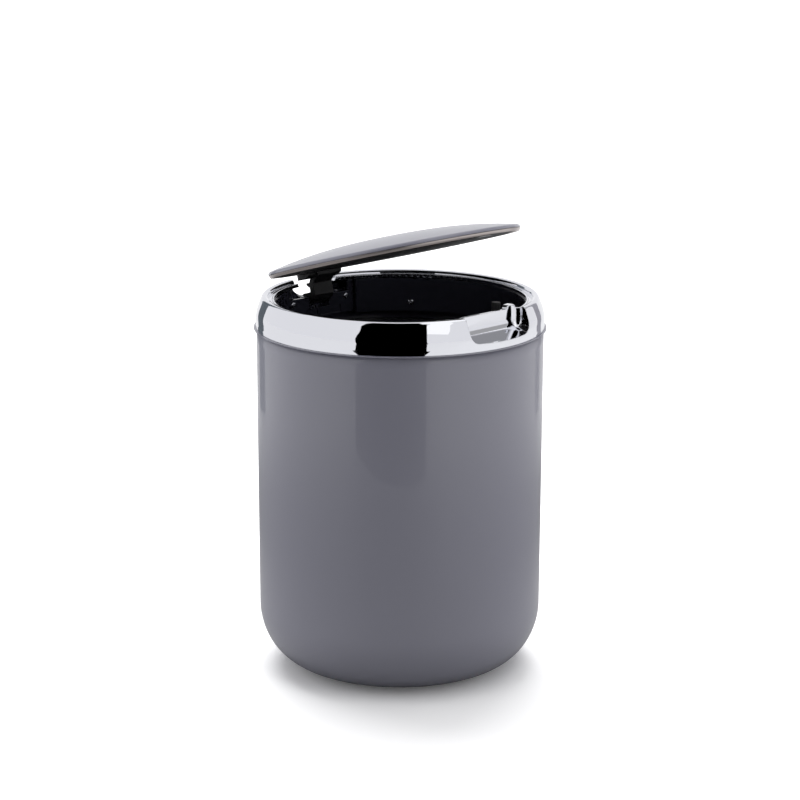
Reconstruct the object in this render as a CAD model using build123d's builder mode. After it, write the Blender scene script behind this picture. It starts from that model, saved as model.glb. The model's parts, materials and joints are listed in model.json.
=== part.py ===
"""Round push-top countertop bin: steel body, lift-off chromed rim with a sprung lid, inner bucket.

Frame: millimetres, +Z up, origin at the centre of the foot ring on the floor.
The finger scoop is at the front (-Y) and the lid's hinge at the back (+Y).
The lid is drawn part open, at lid_rest_angle from closed.
"""

import os
from math import cos, radians, sin, sqrt

from build123d import *

os.makedirs("parts", exist_ok=True)

# ---------------------------------------------------------------- driving dimensions
# Body
body_radius = 100.0
body_taper = 0.4            # the wall leans in by this much at the foot
shell_wall = 0.8
seam_height = 242.3         # top edge of the steel body
foot_height = 1.6
foot_width = 11.0
corner_width = 35.0         # rounded bottom edge, half axes of its ellipse
corner_height = 42.0

# Carrier ring between the body and the chromed rim
seam_lip_overhang = 1.8
seam_lip_thickness = 0.5
plug_wall = 2.0
plug_depth = 14.0
carrier_web = 2.0
collar_wall = 2.0
collar_drop = 5.5
collar_rise = 5.0
snap_wall = 1.8
snap_height = 5.0

# Chromed rim
rim_overhang = 0.5          # the barrel stands this much outside the body
rim_rise = 23.0             # crest above the seam
rim_wall = 2.0
barrel_height = 7.2
barrel_draft = 0.1
shoulder_low_inset = 1.3    # two points that the rounded shoulder passes through
shoulder_low_drop = 8.8
shoulder_high_inset = 3.4
shoulder_high_drop = 3.3
crest_inset = 6.3           # crest in from the body's side
crest_width = 2.3
crest_chamfer = 0.7
crest_lip = 2.0
ledge_drop = 3.3            # ledge below the crest
ledge_width = 3.7
ledge_thickness = 2.0
bead_height = 0.6
bead_width = 0.9
bead_slope = 0.3
web_reach = 2.4             # slanted wall under the ledge
web_inset = 1.6
web_drop = 3.6

# Round notch through the back of the rim
notch_radius = 20.0
notch_rise = 5.0            # its centre above the crest

# Inner skirt, the black liner below the ledge
skirt_inset = 0.7
skirt_wall = 2.0
skirt_drop = 7.0            # lower edge below the seam

# Finger scoop in the front of the rim
scoop_half_width = 28.6
scoop_depth = 16.0          # back wall in from the body's side
scoop_back_drop = 13.3      # floor at the back wall, below the crest
scoop_fall = 4.3            # and its fall to the outside of the rim
scoop_top_drop = 1.1        # top edge of the back wall below the crest
scoop_corner = 6.5
scoop_wall = 1.6

# Touch latch beside the scoop
latch_angle = 15.7          # degrees from the front, towards +X
latch_inset = 9.0           # plunger's axis behind the scoop's back wall
boss_width = 10.0
boss_length = 18.0
boss_reach = 4.5            # nose in front of the scoop's back wall
boss_depth = 8.9
boss_rise = 1.1             # above the crest
boss_corner = 3.5
boss_edge = 2.2
plunger_radius = 3.0
plunger_length = 23.1
magnet_thickness = 1.5
magnet_radius = 2.4
magnet_proud = 0.6
latch_wall = 1.6
latch_floor = 2.0
latch_flange = 1.5
latch_screw_inset = 2.0
latch_spring_wire = 0.3     # wire radius
latch_spring_pitch = 1.5
latch_spring_room = 7.5

# Hinge
hinge_inset = 12.0          # pin in from the body's side
hinge_drop = 15.8           # pin below the crest
lid_rest_angle = 16.0       # opening of the lid as drawn
pin_radius = 1.5
lug_wall = 4.0
lug_gap = 0.5
lug_rise = 2.8
pin_head_radius = 2.4
pin_head_thickness = 1.0
arm_half_width = 9.0
knuckle_radius = 4.5
spring_pocket_half_width = 5.0
spring_pocket_radius = 5.0
torsion_spring_wire = 0.5   # wire radius
torsion_spring_radius = 2.9
torsion_spring_pitch = 1.3
hinge_plate_set = 4.6       # front face of the plate from the pin's axis
hinge_plate_thickness = 2.0
hinge_plate_margin = 7.5    # plate beyond its screws
hinge_plate_drop = 6.0      # lower edge below the seam
hinge_window_margin = 15.3  # window beyond the lugs
hinge_window_depth = 8.0    # below the ledge's underside
arm_slot_depth = 6.0        # below the pin's axis
panel_side = 11.0
panel_rise = 3.8
panel_width = 19.2
panel_height = 5.2
panel_depth = 0.6
hinge_screw_reach = 12.0    # screws out from the lugs
hinge_screw_drop = 1.0      # below the pin's axis
hinge_post_width = 8.0
hinge_post_depth = 6.0

# Lid
lid_overlap = 1.2           # lid wider than the ledge's opening, on the radius
lid_forward = 3.2           # the closed lid stands this much nearer the scoop
lid_lift = 4.4              # closed lid's edge above the crest
dome_height = 9.5
dome_power = 2.5            # how flat the middle of the dome is
cover_edge = 1.4
cover_wall = 0.9
cover_corner = 0.2
hem_width = 1.4
plate_depth = 2.4
plate_rim_width = 8.9       # sloping edge of the plate
plate_edge_inset = 0.9
plate_wall = 1.6
plate_wall_slope = 1.0
plate_lip = 0.6
plate_rib = 2.0
plate_rib_height = 0.8
plate_boss_radius = 3.2
plate_boss_height = 3.6
plate_boss_cap = 0.5
strike_radius = 4.5
strike_thickness = 0.8
bracket_half_width = 18.0   # base, let into the lid's inner plate
bracket_front = 40.0        # reach of the base from the pin's axis
bracket_back = 12.0
bracket_thickness = 2.6
bracket_corner = 4.0
bracket_screw_side = 13.0
bracket_screw_near = 22.0
bracket_screw_far = 34.0
bracket_bore_depth = 1.3

# Gooseneck between the pin and the bracket's base, in reach and rise from the pin's axis
hook_under_reach = 6.3
hook_under_rise = 4.4
hook_inner_reach = 6.7
hook_inner_rise = 7.6
hook_tip_reach = 3.8
hook_tip_rise = 9.6
hook_height = 1.7
neck_back_reach = 6.9
neck_back_rise = 11.2
neck_top_reach = 9.2
neck_top_rise = 14.3
throat_top_reach = 18.3
throat_top_drop = 2.4       # below the lid's inner plate
throat_high_reach = 14.1
throat_high_rise = 12.8
throat_mid_reach = 11.0
throat_mid_rise = 10.3
throat_low_reach = 11.0
throat_low_rise = 1.6
throat_foot_reach = 8.4
throat_foot_drop = 1.4
knuckle_heel = 1.0

# Heel of the bracket, under the lid's back edge
heel_half_width = 16.0
heel_reach = 3.6            # its back from the pin's axis
heel_drop = 3.8             # below the lid's inner plate

# Bucket
flange_inset = 4.0          # flange in from the body's side
flange_width = 6.7
flange_thickness = 1.6
flange_skirt = 7.0
bucket_drop = 14.0          # top of the bucket below the seam
bucket_taper = 5.5
bucket_wall = 1.8
bucket_corner_width = 24.0
bucket_corner_height = 30.0
ear_thickness = 2.5
ear_width = 10.0
ear_height = 5.0
ear_inset = 0.5
bail_wire = 1.4             # wire radius
bail_loop_inset = 6.0
bail_bend = 2.5

# Small screws
screw_head_radius = 2.2
screw_head_height = 1.3
screw_head_crown = 0.45     # share of the head's height that is its crown
screw_shank_radius = 1.0
skirt_screw_angle = 49.3    # from the front and from the back, both ways
skirt_screw_drop = 0.2      # below the seam
skirt_screw_length = 4.0
hinge_screw_length = 6.0
bracket_screw_length = 4.2
latch_screw_length = 5.0

# Fits
gap = 0.3                   # between pieces that part
press_gap = 0.01            # pin held in its lugs
running_gap = 0.05          # pin, plunger and screws in their holes
bail_running_gap = 0.1
clear = 0.6                 # room round a piece let into another
tall = 40.0                 # reach of a cutting tool past the rim
quarter_turn = 90.0

# ---------------------------------------------------------------- sizes that follow
shell_floor = foot_height + shell_wall
foot_outer_radius = body_radius - body_taper - corner_width
foot_inner_radius = foot_outer_radius - foot_width
plug_radius = body_radius - shell_wall - gap
plug_bottom = seam_height - plug_depth
rim_bottom = seam_height + seam_lip_thickness
rim_radius = body_radius + rim_overhang
rim_height = seam_height + rim_rise
barrel_top = rim_bottom + barrel_height
crest_radius = body_radius - crest_inset
recess_radius = crest_radius - crest_width
ledge_radius = recess_radius - ledge_width
ledge_height = rim_height - ledge_drop
ledge_bottom = ledge_height - ledge_thickness
skirt_radius = ledge_radius - skirt_inset
skirt_outer = skirt_radius + skirt_wall
skirt_bottom = seam_height - skirt_drop
skirt_top = ledge_bottom - gap
collar_inner = skirt_outer + gap
collar_outer = collar_inner + collar_wall
snap_outer = rim_radius - rim_wall - gap
scoop_back = body_radius - scoop_depth
scoop_back_height = rim_height - scoop_back_drop
scoop_top = rim_height - scoop_top_drop
scoop_slope = scoop_fall / (rim_radius - scoop_back)
latch_radius = scoop_back - latch_inset
latch_screw_radius = scoop_back - latch_screw_inset
boss_outer_radius = scoop_back + boss_reach
boss_top = rim_height + boss_rise
boss_bottom = boss_top - boss_depth
magnet_top = boss_top + magnet_proud
plunger_bottom = magnet_top - plunger_length
latch_bottom = plunger_bottom - latch_spring_room - latch_floor
bore_radius = plunger_radius + running_gap
hinge_y = body_radius - hinge_inset
hinge_z = rim_height - hinge_drop
lug_inner = arm_half_width + lug_gap
lug_outer = lug_inner + lug_wall
lug_top = hinge_z + lug_rise
hinge_screw_side = lug_outer + hinge_screw_reach
hinge_plate_half_width = hinge_screw_side + hinge_plate_margin
hinge_window_half_width = lug_outer + hinge_window_margin
hinge_plate_front = hinge_y - hinge_plate_set
hinge_plate_back = hinge_plate_front + hinge_plate_thickness
hinge_plate_bottom = seam_height - hinge_plate_drop
hinge_window_bottom = ledge_bottom - hinge_window_depth
arm_slot_bottom = hinge_z - arm_slot_depth
lid_radius = ledge_radius + lid_overlap
lid_edge_rise = hinge_drop + lid_lift           # above the hinge axis
plate_bottom = lid_edge_rise - plate_depth      # above the hinge axis
plate_flat_radius = lid_radius - plate_rim_width
plate_slope = (plate_depth - plate_lip) / (plate_rim_width - plate_edge_inset)
slope_reach = hinge_y + lid_forward - plate_flat_radius     # start of the slope from the pin's axis
flange_radius = body_radius - flange_inset
bucket_radius = flange_radius - flange_width
bucket_height = seam_height - bucket_drop
bail_height = bucket_height + bail_wire + gap
bail_loop_radius = flange_radius - bail_loop_inset
hole_radius = screw_shank_radius + running_gap
latch_tube_radius = bore_radius + latch_wall


# ---------------------------------------------------------------- planes and helpers
def radial_plane(angle, radius, height):
    """Plane whose normal points out of the bin, at an angle from the front towards +X."""
    outward = Vector(sin(radians(angle)), -cos(radians(angle)), 0)
    return Plane(origin=outward * radius + Vector(0, 0, height), x_dir=(0, 0, 1), z_dir=outward)


def radial_floor(angle, height):
    """Level plane whose local x runs outwards at an angle from the front towards +X."""
    outward = (sin(radians(angle)), -cos(radians(angle)), 0)
    return Plane(origin=(0, 0, height), x_dir=outward, z_dir=(0, 0, 1))


lid_normal = Vector(0, sin(radians(lid_rest_angle)), cos(radians(lid_rest_angle)))
lid_frame = Plane(origin=(0, hinge_y, hinge_z), x_dir=(1, 0, 0), z_dir=lid_normal)
lid_side = Plane(origin=lid_frame.origin, x_dir=lid_frame.y_dir, z_dir=(1, 0, 0))
lid_centre = lid_frame.from_local_coords((0, -(hinge_y + lid_forward), lid_edge_rise))
lid_section = Plane(origin=lid_centre, x_dir=(1, 0, 0), z_dir=lid_frame.y_dir * -1)
lid_axis = Axis(lid_centre, lid_normal)
hinge_axis_plane = Plane(origin=(0, hinge_y, hinge_z), x_dir=(0, 1, 0), z_dir=(1, 0, 0))
latch_axis = radial_floor(latch_angle, 0)

# places on the lid, measured in its own frame from the hinge axis
bracket_screw_points = [
    (side * bracket_screw_side, -reach)
    for side in (-1, 1)
    for reach in (bracket_screw_near, bracket_screw_far)
]
base_length = bracket_front - bracket_back
pocket_reach = bracket_back - gap - plate_wall
base_centre = (0, -(bracket_front + bracket_back) / 2)
strike_point = (
    latch_radius * sin(radians(latch_angle)),
    -latch_radius * cos(radians(latch_angle)) - hinge_y,
)


def cup_section(top_radius, foot_radius, bottom, top, width, height, wall):
    """Half section of a round vessel with an elliptical bottom edge and an even wall."""
    with BuildSketch(Plane.XZ) as section:
        with BuildLine():
            centre = (foot_radius - width, bottom + height)
            outer = EllipticalCenterArc(centre, width, height, start_angle=270, arc_size=quarter_turn)
            inner = EllipticalCenterArc(
                centre, width - wall, height - wall, start_angle=270, arc_size=quarter_turn,
            )
            Line(outer @ 1, (top_radius, top))
            Line((top_radius, top), (top_radius - wall, top))
            Line((top_radius - wall, top), inner @ 1)
            Line(inner @ 0, (0, bottom + wall))
            Line((0, bottom + wall), (0, bottom))
            Line((0, bottom), outer @ 0)
        make_face()
    return section.sketch


def ring(*outline):
    """Sketch of a ring's half section, from its corner points (radius, height)."""
    with BuildSketch(Plane.XZ) as section:
        with BuildLine():
            Polyline(*outline, close=True)
        make_face()
    return section.sketch


def pan_screws(places, length):
    """Pan-head screws: each seat is a place's plane, and the shank points along its normal."""
    rim_of_head = -screw_head_height * screw_head_crown
    with BuildPart() as screw:
        with BuildSketch(Plane.XZ):
            with BuildLine():
                Line((0, -screw_head_height), (0, length))
                Line((0, length), (screw_shank_radius, length))
                Line((screw_shank_radius, length), (screw_shank_radius, 0))
                Line((screw_shank_radius, 0), (screw_head_radius, 0))
                Line((screw_head_radius, 0), (screw_head_radius, rim_of_head))
                EllipticalCenterArc(
                    (0, rim_of_head), screw_head_radius, screw_head_height + rim_of_head,
                    start_angle=270, arc_size=quarter_turn,
                )
            make_face()
        revolve(axis=Axis.Z)
    with BuildPart() as group:
        with Locations(*places):
            add(screw.part)
    return group.part


def finish(part, name):
    """Label a finished piece and write it."""
    part.label = name
    export_step(part, f"parts/{name}.step")


# ---------------------------------------------------------------- body
with BuildPart() as outer_shell:
    revolve(
        cup_section(
            body_radius, body_radius - body_taper, foot_height, seam_height,
            corner_width, corner_height, shell_wall,
        ),
        axis=Axis.Z,
    )
finish(outer_shell.part, "outer_shell")

with BuildPart() as foot_ring:
    revolve(
        ring(
            (foot_inner_radius, 0), (foot_outer_radius, 0),
            (foot_outer_radius, foot_height), (foot_inner_radius, foot_height),
        ),
        axis=Axis.Z,
    )
    chamfer(foot_ring.edges().group_by(Axis.Z)[0], length=foot_height / 4)
finish(foot_ring.part, "foot_ring")

# ---------------------------------------------------------------- carrier ring
screw_seat = sqrt(skirt_radius**2 - screw_head_radius**2)
skirt_screw_places = [
    radial_plane(angle, screw_seat, seam_height - skirt_screw_drop)
    for angle in (skirt_screw_angle, -skirt_screw_angle, 180 - skirt_screw_angle, skirt_screw_angle - 180)
]
hinge_screw_places = [
    Plane(
        origin=(side * hinge_screw_side, hinge_plate_front, hinge_z - hinge_screw_drop),
        x_dir=(0, 0, 1), z_dir=(0, 1, 0),
    )
    for side in (-1, 1)
]

with BuildPart() as carrier_ring:
    revolve(
        ring(
            (collar_inner, seam_height - collar_drop),
            (collar_outer, seam_height - collar_drop),
            (collar_outer, seam_height - carrier_web),
            (plug_radius - plug_wall, seam_height - carrier_web),
            (plug_radius - plug_wall, plug_bottom),
            (plug_radius, plug_bottom),
            (plug_radius, seam_height),
            (body_radius + seam_lip_overhang, seam_height),
            (body_radius + seam_lip_overhang, rim_bottom),
            (snap_outer, rim_bottom),
            (snap_outer, rim_bottom + snap_height),
            (snap_outer - snap_wall, rim_bottom + snap_height),
            (snap_outer - snap_wall, seam_height),
            (collar_outer, seam_height),
            (collar_outer, seam_height + collar_rise),
            (collar_inner, seam_height + collar_rise),
        ),
        axis=Axis.Z,
    )
    # room for the scoop at the front
    with Locations((0, -body_radius, rim_bottom + scoop_wall)):
        Box(
            2 * (scoop_half_width + scoop_wall + clear), 2 * (scoop_depth + clear + scoop_wall), tall,
            align=(Align.CENTER, Align.CENTER, Align.MIN), mode=Mode.SUBTRACT,
        )
    # room for the hinge plate, and for the arm behind it
    with Locations((0, 0, seam_height - collar_drop)):
        Box(
            2 * (hinge_plate_half_width + clear), hinge_plate_back, 2 * (collar_drop + collar_rise),
            align=(Align.CENTER, Align.MIN, Align.CENTER), mode=Mode.SUBTRACT,
        )
    with Locations((0, hinge_plate_back, seam_height)):
        Box(
            2 * (hinge_plate_half_width + clear), hinge_post_depth + clear, collar_rise + clear,
            align=(Align.CENTER, Align.MIN, Align.MIN), mode=Mode.SUBTRACT,
        )
    # posts that take the hinge plate's screws
    with BuildSketch(Plane.XY.offset(seam_height)):
        for side in (-1, 1):
            with Locations((side * hinge_screw_side, hinge_plate_back + hinge_post_depth / 2)):
                Rectangle(hinge_post_width, hinge_post_depth)
    extrude(amount=hinge_window_bottom - seam_height)
    with Locations(*skirt_screw_places, *hinge_screw_places):
        Cylinder(
            hole_radius, skirt_screw_length + hinge_screw_length,
            align=(Align.CENTER, Align.CENTER, Align.MIN), mode=Mode.SUBTRACT,
        )
finish(carrier_ring.part, "carrier_ring")

# ---------------------------------------------------------------- scoop, made as a tray and its cutter
def scoop_block(back, half_width, floor_drop, top):
    """Wedge under the scoop: upright back, floor that falls towards the front."""
    front = rim_radius + clear * 10
    floor_back = scoop_back_height - floor_drop
    floor_front = floor_back - scoop_slope * (front - scoop_back)
    with BuildSketch(Plane.YZ.offset(-half_width)) as section:
        with BuildLine():
            Polyline(
                (-back, floor_back + scoop_slope * (scoop_back - back)), (-back, top), (-front, top),
                (-front, floor_front), close=True,
            )
        make_face()
    return section.sketch


with BuildPart() as scoop_cutter:
    extrude(scoop_block(scoop_back, scoop_half_width, 0, rim_height + tall), amount=2 * scoop_half_width)
    upright = scoop_cutter.edges().filter_by(Axis.Z).group_by(Axis.Y)[-1]
    floor_edges = scoop_cutter.faces().sort_by(Axis.Z)[0].edges().sort_by(Axis.Y)[1:]
    fillet(upright + floor_edges, radius=scoop_corner)


# ---------------------------------------------------------------- chromed rim
shoulder_points = (
    (rim_radius - barrel_draft, barrel_top),
    (rim_radius - shoulder_low_inset, rim_height - shoulder_low_drop),
    (rim_radius - shoulder_high_inset, rim_height - shoulder_high_drop),
    (crest_radius, rim_height),
)


def rim_outline(inner_edge):
    """Closed half section of the rim, bounded outside by its shoulder and inside by inner_edge."""
    with BuildSketch(Plane.XZ) as section:
        with BuildLine():
            Line((rim_radius, rim_bottom), shoulder_points[0])
            Spline(*shoulder_points, tangents=((0, 1), (-1, 0.05)))
            Polyline(shoulder_points[-1], *inner_edge, (rim_radius, rim_bottom))
        make_face()
    return section.sketch


with BuildPart() as scoop_tray:
    extrude(
        scoop_block(scoop_back - scoop_wall, scoop_half_width + scoop_wall, scoop_wall, scoop_top),
        amount=2 * (scoop_half_width + scoop_wall),
    )
    tray_uprights = scoop_tray.edges().filter_by(Axis.Z).group_by(Axis.Y)[-1]
    tray_floor = scoop_tray.faces().sort_by(Axis.Z)[0].edges().sort_by(Axis.Y)[1:]
    fillet(tray_uprights + tray_floor, radius=scoop_corner + scoop_wall)
    revolve(rim_outline(((0, rim_height), (0, rim_bottom))), axis=Axis.Z, mode=Mode.INTERSECT)

ledge_edge = (
    (recess_radius + crest_chamfer, rim_height - crest_chamfer),
    (recess_radius, rim_height - crest_lip),
    (recess_radius, ledge_height),
    (ledge_radius + bead_width + bead_slope, ledge_height),
    (ledge_radius + bead_width, ledge_height + bead_height),
    (ledge_radius, ledge_height + bead_height),
    (ledge_radius, ledge_bottom),
    (recess_radius + web_reach, ledge_bottom),
    (rim_radius - rim_wall - web_inset, ledge_bottom - web_drop),
    (rim_radius - rim_wall, barrel_top),
    (rim_radius - rim_wall, rim_bottom),
)
# nose beside the scoop, which houses the touch latch
with BuildPart() as latch_nose:
    with BuildSketch(radial_floor(latch_angle, boss_bottom)):
        with Locations((boss_outer_radius - boss_length / 2, 0)):
            RectangleRounded(boss_length, boss_width, radius=boss_corner)
    extrude(amount=boss_depth)
    fillet(latch_nose.edges().group_by(Axis.Z)[-1], radius=boss_edge)

with BuildPart() as chrome_rim:
    revolve(rim_outline(ledge_edge), axis=Axis.Z)
    add(scoop_tray.part)
    add(latch_nose.part)
    with Locations(latch_axis.offset(boss_bottom)):
        with Locations((latch_radius, 0)):
            Cylinder(
                bore_radius + gap, tall, align=(Align.CENTER, Align.CENTER, Align.MIN), mode=Mode.SUBTRACT,
            )
        with Locations((latch_screw_radius, 0)):
            Cylinder(
                hole_radius, latch_screw_length - latch_flange + clear,
                align=(Align.CENTER, Align.CENTER, Align.MIN), mode=Mode.SUBTRACT,
            )
    add(scoop_cutter.part, mode=Mode.SUBTRACT)
    # round notch at the back, where the lid's arm swings out
    with Locations(Plane(origin=(0, scoop_back, rim_height + notch_rise), z_dir=(0, 1, 0))):
        Cylinder(notch_radius, tall, align=(Align.CENTER, Align.CENTER, Align.MIN), mode=Mode.SUBTRACT)
finish(chrome_rim.part, "chrome_rim")

# ---------------------------------------------------------------- inner skirt
with BuildPart() as inner_skirt:
    revolve(
        ring(
            (skirt_radius, skirt_bottom), (skirt_outer, skirt_bottom),
            (skirt_outer, skirt_top), (skirt_radius, skirt_top),
        ),
        axis=Axis.Z,
    )
    with Locations((0, -scoop_back, rim_bottom + scoop_wall)):
        Box(
            2 * (scoop_half_width + scoop_wall + clear), tall, tall,
            align=(Align.CENTER, Align.CENTER, Align.MIN), mode=Mode.SUBTRACT,
        )
    with Locations((0, 0, skirt_bottom)):
        Box(
            2 * (hinge_plate_half_width + clear), body_radius, tall,
            align=(Align.CENTER, Align.MIN, Align.MIN), mode=Mode.SUBTRACT,
        )
    with Locations(*skirt_screw_places):
        Cylinder(hole_radius, skirt_wall * 3, mode=Mode.SUBTRACT)
finish(inner_skirt.part, "inner_skirt")
finish(pan_screws(skirt_screw_places, skirt_screw_length), "skirt_screws")

# ---------------------------------------------------------------- hinge block
with BuildPart() as hinge_block:
    # flat plate across the back of the mouth, with its stepped window
    with BuildSketch(Plane.XZ.offset(-hinge_plate_back)):
        with BuildLine():
            Polyline(
                (-hinge_plate_half_width, hinge_plate_bottom), (hinge_plate_half_width, hinge_plate_bottom),
                (hinge_plate_half_width, skirt_top), (hinge_window_half_width, skirt_top),
                (hinge_window_half_width, hinge_window_bottom), (lug_inner, hinge_window_bottom),
                (lug_inner, arm_slot_bottom), (-lug_inner, arm_slot_bottom),
                (-lug_inner, hinge_window_bottom), (-hinge_window_half_width, hinge_window_bottom),
                (-hinge_window_half_width, skirt_top), (-hinge_plate_half_width, skirt_top),
                close=True,
            )
        make_face()
    extrude(amount=hinge_plate_thickness)
    # two lugs that carry the pin
    for side in (-1, 1):
        with BuildSketch(Plane.YZ.offset(side * (lug_inner + lug_outer) / 2)):
            with BuildLine():
                Polyline(
                    (hinge_plate_back, seam_height), (hinge_y + knuckle_radius, seam_height),
                    (hinge_y + knuckle_radius, lug_top), (hinge_plate_back, lug_top), close=True,
                )
            make_face()
        extrude(amount=lug_wall / 2, both=True)
    # floor between the lugs
    with Locations((0, hinge_plate_back, seam_height)):
        Box(
            2 * lug_inner, hinge_y + knuckle_radius - hinge_plate_back, arm_slot_bottom - seam_height,
            align=(Align.CENTER, Align.MIN, Align.MIN),
        )
    # shallow panels either side of a centre rib
    with BuildSketch(Plane.XZ.offset(-hinge_plate_front)):
        with Locations(*[(side * panel_side, hinge_plate_bottom + panel_rise) for side in (-1, 1)]):
            Rectangle(panel_width, panel_height)
    extrude(amount=-panel_depth, mode=Mode.SUBTRACT)
    with Locations(hinge_axis_plane):
        Cylinder(pin_radius + press_gap, 4 * lug_outer, mode=Mode.SUBTRACT)
    with Locations(*hinge_screw_places):
        Cylinder(hole_radius, hinge_plate_thickness * 2, mode=Mode.SUBTRACT)
finish(hinge_block.part, "hinge_block")
finish(pan_screws(hinge_screw_places, hinge_screw_length), "hinge_screws")

with BuildPart() as hinge_pin:
    with BuildSketch(hinge_axis_plane.offset(-lug_outer)):
        Circle(pin_radius)
    extrude(amount=2 * lug_outer + 2 * pin_head_thickness)
    with BuildSketch(hinge_axis_plane.offset(-lug_outer)):
        Circle(pin_head_radius)
    extrude(amount=-pin_head_thickness)
finish(hinge_pin.part, "hinge_pin")

with BuildPart() as pin_clip:
    with BuildSketch(hinge_axis_plane.offset(lug_outer)):
        Circle(pin_head_radius)
        Circle(pin_radius, mode=Mode.SUBTRACT)
        with Locations((0, pin_head_radius)):
            Rectangle(pin_radius, 2 * pin_head_radius, mode=Mode.SUBTRACT)
    extrude(amount=pin_head_thickness)
finish(pin_clip.part, "pin_clip")

# ---------------------------------------------------------------- torsion spring on the hinge pin
coil_length = 2 * (spring_pocket_half_width - torsion_spring_wire - clear)
with BuildPart() as lid_spring:
    with BuildLine() as coil:
        Helix(
            pitch=torsion_spring_pitch, height=coil_length, radius=torsion_spring_radius,
            center=(-coil_length / 2, hinge_y, hinge_z), direction=(1, 0, 0),
        )
    with BuildSketch(Plane(origin=coil.line @ 0, z_dir=coil.line % 0)):
        Circle(torsion_spring_wire)
    sweep()
    # one leg down to the hinge block's floor, and one out towards the lid's arm
    with BuildSketch(Plane.XY.offset(arm_slot_bottom)):
        with Locations((-coil_length / 2, hinge_y - torsion_spring_radius)):
            Circle(torsion_spring_wire)
    extrude(amount=hinge_z - arm_slot_bottom)
    with BuildSketch(Plane.XY.offset(hinge_z)):
        with Locations((coil_length / 2, hinge_y - torsion_spring_radius)):
            Circle(torsion_spring_wire)
    extrude(amount=spring_pocket_radius - 3 * torsion_spring_wire - clear)
finish(lid_spring.part, "lid_spring")

# ---------------------------------------------------------------- touch latch
with BuildPart() as latch_housing:
    with Locations(latch_axis.offset(latch_bottom)):
        with Locations((latch_radius, 0)):
            Cylinder(
                latch_tube_radius, boss_bottom - latch_bottom, align=(Align.CENTER, Align.CENTER, Align.MIN),
            )
    with BuildSketch(latch_axis.offset(boss_bottom)):
        flange_reach = latch_screw_radius + screw_head_radius
        with Locations(((latch_radius + flange_reach) / 2, 0)):
            Rectangle(flange_reach - latch_radius, 2 * screw_head_radius)
    extrude(amount=-latch_flange)
    with Locations(latch_axis.offset(latch_bottom + latch_floor)):
        with Locations((latch_radius, 0)):
            Cylinder(
                bore_radius, tall, align=(Align.CENTER, Align.CENTER, Align.MIN), mode=Mode.SUBTRACT,
            )
    with Locations(latch_axis.offset(boss_bottom)):
        with Locations((latch_screw_radius, 0)):
            Cylinder(hole_radius, latch_flange * 2, mode=Mode.SUBTRACT)
finish(latch_housing.part, "latch_housing")

latch_screw_place = Plane(
    origin=latch_axis.offset(boss_bottom - latch_flange).from_local_coords((latch_screw_radius, 0, 0)),
    z_dir=(0, 0, 1),
)
finish(pan_screws([latch_screw_place], latch_screw_length), "latch_screw")

with BuildPart() as latch_plunger:
    with BuildSketch(latch_axis.offset(plunger_bottom)):
        with Locations((latch_radius, 0)):
            Circle(plunger_radius)
    extrude(amount=magnet_top - plunger_bottom)
    with BuildSketch(latch_axis.offset(magnet_top)):
        with Locations((latch_radius, 0)):
            Circle(magnet_radius)
    extrude(amount=-magnet_thickness, mode=Mode.SUBTRACT)
finish(latch_plunger.part, "latch_plunger")

with BuildPart() as latch_magnet:
    with BuildSketch(latch_axis.offset(magnet_top - magnet_thickness)):
        with Locations((latch_radius, 0)):
            Circle(magnet_radius)
    extrude(amount=magnet_thickness)
finish(latch_magnet.part, "latch_magnet")

spring_low = latch_bottom + latch_floor + latch_spring_wire + gap
spring_high = plunger_bottom - latch_spring_wire - gap
spring_centre = latch_axis.from_local_coords((latch_radius, 0, spring_low))
with BuildPart() as latch_spring:
    with BuildLine() as latch_coil:
        Helix(
            pitch=latch_spring_pitch, height=spring_high - spring_low,
            radius=plunger_radius - 2 * latch_spring_wire, center=spring_centre,
        )
    with BuildSketch(Plane(origin=latch_coil.line @ 0, z_dir=latch_coil.line % 0)):
        Circle(latch_spring_wire)
    sweep()
finish(latch_spring.part, "latch_spring")

# ---------------------------------------------------------------- lid
def dome(radius, rise):
    """Height of the lid's dome above its edge at a radius."""
    return rise + dome_height * (1 - (radius / lid_radius) ** dome_power)


dome_radii = (0, lid_radius * 0.45, lid_radius * 0.78, lid_radius - cover_edge)
dome_points = [(radius, dome(radius, cover_edge)) for radius in dome_radii]
under_points = [(max(radius - cover_wall, 0), height - cover_wall) for radius, height in dome_points]
edge_slope = dome(lid_radius, 0) - dome(lid_radius - 1, 0)
with BuildPart() as lid_cover:
    with BuildSketch(lid_section):
        with BuildLine():
            crown = Spline(*dome_points, tangents=((1, 0), (1, edge_slope)))
            nose = TangentArc(crown @ 1, (lid_radius, cover_edge / 2), tangent=crown % 1)
            Line(nose @ 1, (lid_radius, cover_corner))
            Line((lid_radius, cover_corner), (lid_radius - cover_corner, 0))
            Line((lid_radius - cover_corner, 0), (lid_radius - cover_edge - hem_width, 0))
            under = Spline(*under_points, tangents=((1, 0), (1, edge_slope)))
            Line((lid_radius - cover_edge - hem_width, 0), under @ 1)
            Line(under @ 0, crown @ 0)
        make_face()
    revolve(axis=lid_axis)
finish(lid_cover.part, "lid_cover")

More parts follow.
